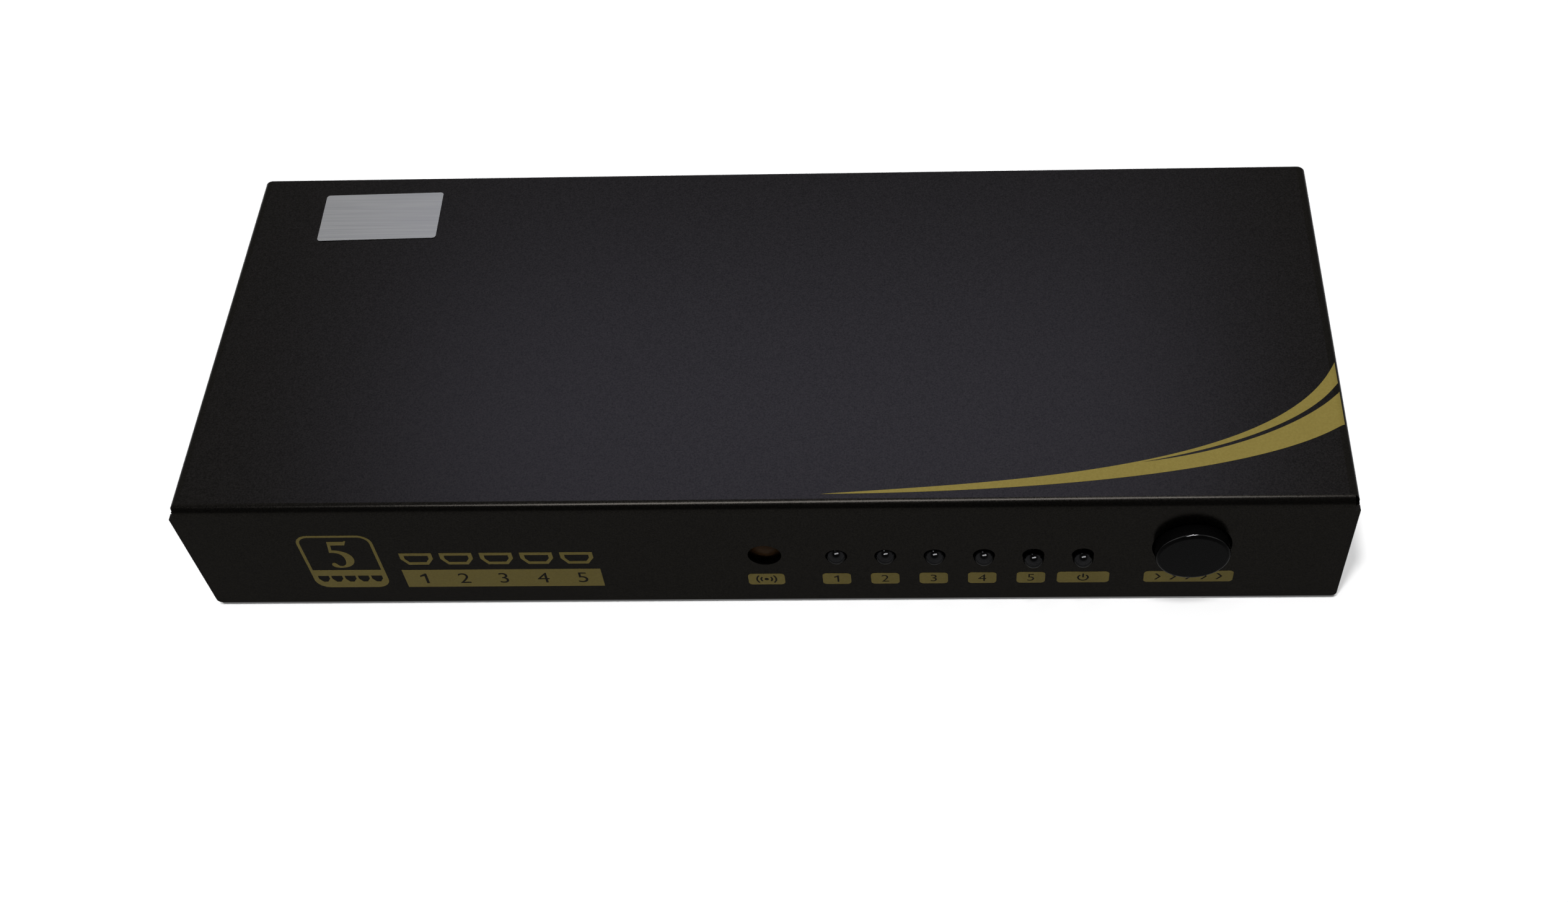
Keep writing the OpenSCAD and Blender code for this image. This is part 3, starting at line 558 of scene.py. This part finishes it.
def input_bar():
    """A bar with the inputs' numbers left open, and the outline of a socket over each number."""
    left, right, low, high = -52.9, -24.0, 4.75, 9.25
    number_h = 2.6
    sign_w, sign_h, sign_line, sign_z = 4.7, 2.9, 0.62, 12.1
    pitch = (right - left) / INPUTS
    sign = socket_mark(sign_w, sign_h, sign_line)
    bar = [box_outline(left, low, right, high)]
    for i in range(INPUTS):
        x = left + pitch * (i + 0.5)
        bar += moved(numeral(str(i + 1), number_h), x, (low + high) / 2)
        print_on(f"bar_socket_{i + 1}", moved(sign, x, sign_z), ON_FRONT)
    print_on("bar_numbers", bar, ON_FRONT)


def rear_pads():
    """A pad over each opening of the rear: name, node, lower edge, width and mark."""
    over_socket, over_jack = 16.6, 19.7
    pads = [("rear_pad_output", "output_shell", over_socket, SIGN_PAD_W, screen_mark())]
    for i in range(1, INPUTS + 1):
        number = numeral(str(i), NUMBER_H)
        pads.append((f"rear_pad_{i}", f"input_{i}_shell", over_socket, NUMBER_PAD_W, number))
    pads.append(("rear_pad_power", "dc_jack_body", over_jack, SIGN_PAD_W, direct_current_mark()))
    for name, node, low, width, mark in pads:
        print_on(name, pad(-centre(node).x, low, width, mark), ON_BACK)


# The lid's stripes: cubic curves, with x from the middle of the box and y from the front
STRIPE_TIP = (8.6, 2.3)
STRIPE_SPLIT = (53.0, 7.25)
STRIPE_END = 81.9
UNDER_EDGE = (STRIPE_TIP, (14.5, 2.3), (65.4, 2.2), (STRIPE_END, 13.7))
UPPER_EDGE = (STRIPE_TIP, (29.6, 3.9), (73.0, 5.1), (STRIPE_END, 25.0))
GAP_UNDER = (STRIPE_SPLIT, (73.4, 10.0), (81.8, 18.9), (STRIPE_END, 19.6))
GAP_UPPER = (STRIPE_SPLIT, (74.0, 11.4), (80.2, 18.4), (STRIPE_END, 21.2))


def curve_y(controls, x):
    """Height at x of a cubic curve that runs forwards in x, found by halving."""
    def at(axis, t):
        a, b, c, d = (p[axis] for p in controls)
        return (1 - t) ** 3 * a + 3 * (1 - t) ** 2 * t * b + 3 * (1 - t) * t ** 2 * c + t ** 3 * d

    halvings = 40
    low, high = 0.0, 1.0
    for _ in range(halvings):
        mid = (low + high) / 2
        if at(0, mid) < x:
            low = mid
        else:
            high = mid
    return at(1, (low + high) / 2)


def lid_point(x, y, rise):
    """A point on the lid, or on the bend at its right end, lifted off the surface."""
    bend_x = SIDE_X - BEND_R
    bend_z = LID_Z - BEND_R
    turn = math.asin(max(0.0, (x - bend_x) / BEND_R))
    r = BEND_R + rise
    return (min(x, bend_x) + r * math.sin(turn), FRONT_Y + y, bend_z + r * math.cos(turn))


def stripe(name, start, end, under, upper):
    """A thin stripe between two edges of the lid's print, from one place across the box to another."""
    flat_steps, bend_steps = 40, 6
    flat_end = min(end, SIDE_X - BEND_R)
    xs = [start + (flat_end - start) * i / flat_steps for i in range(flat_steps + 1)]
    if end > flat_end:
        xs += [flat_end + (end - flat_end) * (i + 1) / bend_steps for i in range(bend_steps)]
    shape = bmesh.new()
    rows = []
    for x in xs:
        low_y = curve_y(under, x)
        high_y = max(curve_y(upper, x), low_y)
        spots = ((low_y, -INK_DEPTH), (high_y, -INK_DEPTH), (high_y, INK_RISE), (low_y, INK_RISE))
        rows.append([shape.verts.new(lid_point(x, y, rise)) for y, rise in spots])
    for a, b in zip(rows, rows[1:]):
        for i in range(4):
            j = (i + 1) % 4
            shape.faces.new((a[i], a[j], b[j], b[i]))
    shape.faces.new(rows[0])
    shape.faces.new(rows[-1])
    mesh = bpy.data.meshes.new(name)
    shape.to_mesh(mesh)
    shape.free()
    make_piece(name, mesh, Matrix.Identity(4), gold_ink)


def lid_stripes():
    """One stripe that grows from its tip and splits in two before the right end."""
    split = STRIPE_SPLIT[0]
    stripe("lid_stripe_tail", STRIPE_TIP[0], split, UNDER_EDGE, UPPER_EDGE)
    stripe("lid_stripe_lower", split, STRIPE_END, UNDER_EDGE, GAP_UNDER)
    stripe("lid_stripe_upper", split, STRIPE_END, GAP_UPPER, UPPER_EDGE)


# Lamps
def lamp_place(node):
    """Local Z runs from a lamp's base to its tip."""
    base_y = corners(node)[1].y
    z = centre(node).z
    return Matrix(((1, 0, 0, axis_x(node)), (0, 0, -1, base_y), (0, 1, 0, z), (0, 0, 0, 1)))


def lamp_lens(node):
    """The body of a clear lamp, coloured near black as painted shade of the box's dark inside, which leaves
    no image of itself in the coat around it.
    """
    rim = 0.12
    r, flange_r, flange_t = LAMP_R, LAMP_FLANGE_R, LAMP_FLANGE_T
    low, high = corners(node)
    length = high.y - low.y
    profile = [(0, 0), (flange_r - rim, 0), (flange_r, rim), (flange_r, flange_t - rim)]
    profile += [(flange_r - rim, flange_t), (r + rim, flange_t), (r, flange_t + rim)]
    profile += dome_profile(r, length - r)
    mesh = lathe_mesh(profile)
    for vertex in mesh.vertices:
        vertex.co.x = min(vertex.co.x, LAMP_FLAT)
    lens = make_piece(f"{node}_lens", mesh, lamp_place(node), clear_lamp)
    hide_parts(node)
    lens.visible_glossy = False
    return lens


def lamp_inside(node):
    """The two posts that a lamp is cast around, with the cup on the wider one."""
    half_sheet = 0.22
    cup_x, cup_sides = -0.4, 24
    anvil = polygon(
        (-1.4, 0.05), (-0.9, 0.05), (-0.9, 1.1), (0.2, 1.7),
        (0.2, 2.4), (-1.05, 2.4), (-1.05, 1.5), (-1.4, 1.2),
    )
    post = polygon(
        (0.95, 0.05), (1.35, 0.05), (1.35, 1.1), (1.0, 1.5),
        (1.0, 2.3), (0.55, 2.3), (0.55, 1.4), (0.95, 1.0),
    )
    cup = ((0, 2.3), (0.34, 2.3), (0.5, 2.75), (0.42, 2.75), (0.28, 2.5), (0, 2.5))
    upright = lamp_place(node) @ Matrix.Rotation(math.pi / 2, 4, "X")
    cup_place = lamp_place(node) @ Matrix.Translation((cup_x, 0, 0))
    for label, outline in (("anvil", anvil), ("post", post)):
        plate = flat_mesh([outline], -half_sheet, half_sheet)
        make_piece(f"{node}_{label}", plate, upright, lamp_frame)
    make_piece(f"{node}_cup", lathe_mesh(cup, cup_sides), cup_place, lamp_frame)


# Sockets
def bowed_strip(length, sag, thick):
    """Side view of a spring strip that bows down between its two held ends."""
    under = 0.1
    over = under + thick
    near, far = length / 3, length - length / 3
    lower = [((0, under), (0, under), (near, -sag)), ((length, under), (far, -sag), (length, under))]
    upper = [
        ((length, over), (length, over), (far, thick - sag)),
        ((0, over), (near, thick - sag), (0, over)),
    ]
    return [lower + upper]


def socket_springs(name):
    """The two springs in the top of a socket, which hold a plug."""
    length, width, sag, thick = 5.6, 1.8, 0.55, 0.12
    off_middle, inset = 3.4, 0.8
    high = corners(f"{name}_shell")[1]
    x = centre(f"{name}_shell").x
    start = high.y - inset
    top = high.z - MOUTH_LIP - SHELL_T
    for side, label in ((-1, "left"), (1, "right")):
        mesh = flat_mesh(bowed_strip(length, sag, thick), -width / 2, width / 2)
        spring_x = x + side * off_middle
        place = Matrix(((0, 0, 1, spring_x), (-1, 0, 0, start), (0, 1, 0, top), (0, 0, 0, 1)))
        make_piece(f"{name}_spring_{label}", mesh, place, nickel)


# Switch spring
def coil_mesh(low, high):
    """A wound wire that fills a box from front to back."""
    wire_r = 0.2
    turns, steps = 6, 32
    mid = (low + high) / 2
    coil_r = (high.x - low.x) / 2 - wire_r
    run = high.y - low.y - 2 * wire_r
    curve = bpy.data.curves.new("coil", "CURVE")
    curve.dimensions = "3D"
    curve.bevel_depth = wire_r
    curve.bevel_resolution = 3
    curve.use_fill_caps = True
    spline = curve.splines.new("POLY")
    spline.points.add(turns * steps)
    for i, point in enumerate(spline.points):
        turn = math.tau * i / steps
        y = low.y + wire_r + run * i / (turns * steps)
        point.co = (mid.x + coil_r * math.cos(turn), y, mid.z + coil_r * math.sin(turn), 1)
    return curve_mesh(curve)


def switch_spring():
    """The coil behind the button, in place of the frame's spring, with a mesh of its own."""
    low, high = corners("switch_spring")
    coil = make_piece("switch_coil", coil_mesh(low, high), Matrix.Identity(4), steel)
    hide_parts("switch_spring")
    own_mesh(coil)


# Stage, in metres
def calculate(nodes, link, operation, first, second):
    """A maths node on two sockets."""
    node = nodes.new("ShaderNodeMath")
    node.operation = operation
    link(first, node.inputs[0])
    link(second, node.inputs[1])
    return node.outputs[0]


def fade(nodes, link, value, full, none, least=0.0):
    """A smooth step from one, where a value is at full, to the least, where it is at none."""
    step = nodes.new("ShaderNodeMapRange")
    step.interpolation_type = "SMOOTHSTEP"
    step.inputs["From Min"].default_value = none
    step.inputs["From Max"].default_value = full
    step.inputs["To Min"].default_value = least
    link(value, step.inputs["Value"])
    return step.outputs["Result"]


def light_mask(nodes, link):
    """One for rays that show the background: from the camera, off gloss and through clear pieces."""
    rays = nodes.new("ShaderNodeLightPath").outputs
    shown = calculate(nodes, link, "MAXIMUM", rays["Is Camera Ray"], rays["Is Glossy Ray"])
    return calculate(nodes, link, "MAXIMUM", shown, rays["Is Transmission Ray"])


def matt_grey(nodes, shade):
    shader = nodes.new("ShaderNodeBsdfDiffuse")
    shader.inputs["Color"].default_value = (shade, shade, shade, 1)
    return shader.outputs[0]


def floor_material():
    """A grey that shows white where the floor's own light reaches it, and keeps the object's shadow."""
    shade, shown_shade, glow = 0.051, 0.1, 0.13
    material = bpy.data.materials.new("pale_floor")
    material.use_nodes = True
    nodes = material.node_tree.nodes
    link = material.node_tree.links.new
    nodes.remove(nodes["Principled BSDF"])
    white = nodes.new("ShaderNodeEmission")
    white.inputs["Strength"].default_value = glow
    shown = nodes.new("ShaderNodeAddShader")
    mix = nodes.new("ShaderNodeMixShader")
    link(matt_grey(nodes, shown_shade), shown.inputs[0])
    link(white.outputs[0], shown.inputs[1])
    link(light_mask(nodes, link), mix.inputs["Fac"])
    link(matt_grey(nodes, shade), mix.inputs[1])
    link(shown.outputs[0], mix.inputs[2])
    link(mix.outputs[0], nodes["Material Output"].inputs["Surface"])
    return material


def make_floor():
    half = 3.0
    square = [(-half, -half, 0), (half, -half, 0), (half, half, 0), (-half, half, 0)]
    mesh = bpy.data.meshes.new("floor")
    mesh.from_pydata(square, [], [(0, 1, 2, 3)])
    mesh.materials.append(floor_material())
    floor = bpy.data.objects.new("floor", mesh)
    bpy.context.scene.collection.objects.link(floor)
    return floor


def dim_above(nodes, link, direction):
    """Strength of the white surround, which is darker above the viewer."""
    dark_way = Vector((0, -0.5, 0.85)).normalized()
    along = nodes.new("ShaderNodeVectorMath")
    along.operation = "DOT_PRODUCT"
    along.inputs[1].default_value = dark_way
    link(direction, along.inputs[0])
    return fade(nodes, link, along.outputs["Value"], full=0.55, none=0.85, least=0.2)


def soft_box(nodes, link, direction):
    """Strength of a soft-edged box of sky, whose edges are slopes across and back from straight up."""
    split = nodes.new("ShaderNodeSeparateXYZ")
    link(direction, split.inputs[0])
    across = calculate(nodes, link, "DIVIDE", split.outputs["X"], split.outputs["Z"])
    back = calculate(nodes, link, "DIVIDE", split.outputs["Y"], split.outputs["Z"])
    right = fade(nodes, link, across, full=0.11, none=0.25)
    left = fade(nodes, link, across, full=-0.3, none=-0.48)
    near = fade(nodes, link, back, full=0.67, none=0.6)
    far = fade(nodes, link, back, full=0.7, none=1.13)
    box = right
    for edge in (left, near, far):
        box = calculate(nodes, link, "MULTIPLY", box, edge)
    return box


def make_world():
    """White all round with a soft blue box behind, for the mask's rays, and an even fill for the rest."""
    fill, glow = 0.1, 5.5
    white = (1, 1, 1, 1)
    blue = Vector((0.65, 0.67, 1.03)) * glow
    world = bpy.data.worlds.new("studio")
    world.use_nodes = True
    nodes = world.node_tree.nodes
    link = world.node_tree.links.new
    direction = nodes.new("ShaderNodeTexCoord").outputs["Generated"]
    surround = nodes["Background"]
    surround.inputs["Color"].default_value = white
    link(dim_above(nodes, link, direction), surround.inputs["Strength"])
    box = nodes.new("ShaderNodeBackground")
    box.inputs["Color"].default_value = (*blue, 1)
    link(soft_box(nodes, link, direction), box.inputs["Strength"])
    soft = nodes.new("ShaderNodeBackground")
    soft.inputs["Color"].default_value = white
    soft.inputs["Strength"].default_value = fill
    sky = nodes.new("ShaderNodeAddShader")
    mix = nodes.new("ShaderNodeMixShader")
    link(surround.outputs[0], sky.inputs[0])
    link(box.outputs[0], sky.inputs[1])
    link(light_mask(nodes, link), mix.inputs["Fac"])
    link(soft.outputs[0], mix.inputs[1])
    link(sky.outputs[0], mix.inputs[2])
    link(mix.outputs[0], nodes["World Output"].inputs["Surface"])
    bpy.context.scene.world = world


def make_light(name, place, width, depth, watts, colour):
    """An oblong light that faces the box."""
    light = bpy.data.lights.new(name, "AREA")
    light.shape = "RECTANGLE"
    light.size = width
    light.size_y = depth
    light.energy = watts
    light.color = colour
    lamp = bpy.data.objects.new(name, light)
    lamp.location = place
    lamp.rotation_euler = (-Vector(place)).to_track_quat("-Z", "Y").to_euler()
    lamp.visible_camera = False
    bpy.context.scene.collection.objects.link(lamp)
    return lamp


def make_sun(name, way, strength, spread):
    """Even light that travels one way, with a spread in radians."""
    light = bpy.data.lights.new(name, "SUN")
    light.energy = strength
    light.angle = spread
    lamp = bpy.data.objects.new(name, light)
    lamp.rotation_euler = Vector(way).to_track_quat("-Z", "Y").to_euler()
    bpy.context.scene.collection.objects.link(lamp)
    return lamp


def only_on(lamp, receivers):
    """Lets a light reach these objects alone."""
    group = bpy.data.collections.new(f"{lamp.name}_reach")
    for receiver in receivers:
        group.objects.link(receiver)
    lamp.light_linking.receiver_collection = group


def all_but(lamp, receivers):
    """Lets a light reach everything apart from these objects."""
    only_on(lamp, receivers)
    for entry in lamp.light_linking.receiver_collection.collection_objects:
        entry.light_linking.link_state = "EXCLUDE"


def make_lights(floor, lenses):
    """A narrow key above, a front light for the glints on the lamps, and the floor's own light."""
    key = make_light("key", (-0.03, 0.03, 1.0), width=0.745, depth=0.15, watts=10.6, colour=(0.97, 0.97, 1))
    glint = make_light("glint", (0.12, -0.6, 1.0), width=0.9, depth=0.28, watts=24.0, colour=(1, 1, 1))
    side = make_sun("floor_side", (0.27, 0.385, -1.25), strength=14.4, spread=0.1)
    top = make_sun("floor_top", (0, 0.2, -1), strength=12.6, spread=0.15)
    all_but(key, lenses)
    only_on(glint, lenses)
    only_on(side, [floor])
    only_on(top, [floor])


def make_camera():
    """The photograph's view, with its place and aim in millimetres."""
    place = Vector((26.9, -178.2, 231.94)) * MM
    aim = Vector((17.85, -22.66, 24.1)) * MM
    roll = math.radians(-3.19)
    data = bpy.data.cameras.new("camera")
    data.lens = 42.6
    data.sensor_width = 36
    data.shift_x = -0.0663
    data.clip_start = 0.01
    camera = bpy.data.objects.new("camera", data)
    camera.location = place
    turn = (aim - place).to_track_quat("-Z", "Y") @ Quaternion((0, 0, 1), roll)
    camera.rotation_euler = turn.to_euler()
    bpy.context.scene.collection.objects.link(camera)
    bpy.context.scene.camera = camera


make_camera()
make_world()
dress_frame()
polish_button_edge()
front_pads()
port_badge()
input_bar()
rear_pads()
lid_stripes()
lenses = [lamp_lens(lamp_name) for lamp_name in LAMP_NAMES]
for lamp_name in LAMP_NAMES:
    lamp_inside(lamp_name)
for socket_name in SOCKET_NAMES:
    socket_springs(socket_name)
switch_spring()
make_lights(make_floor(), lenses)
bpy.context.scene.view_settings.view_transform = "Standard"

bpy.context.view_layer.update()
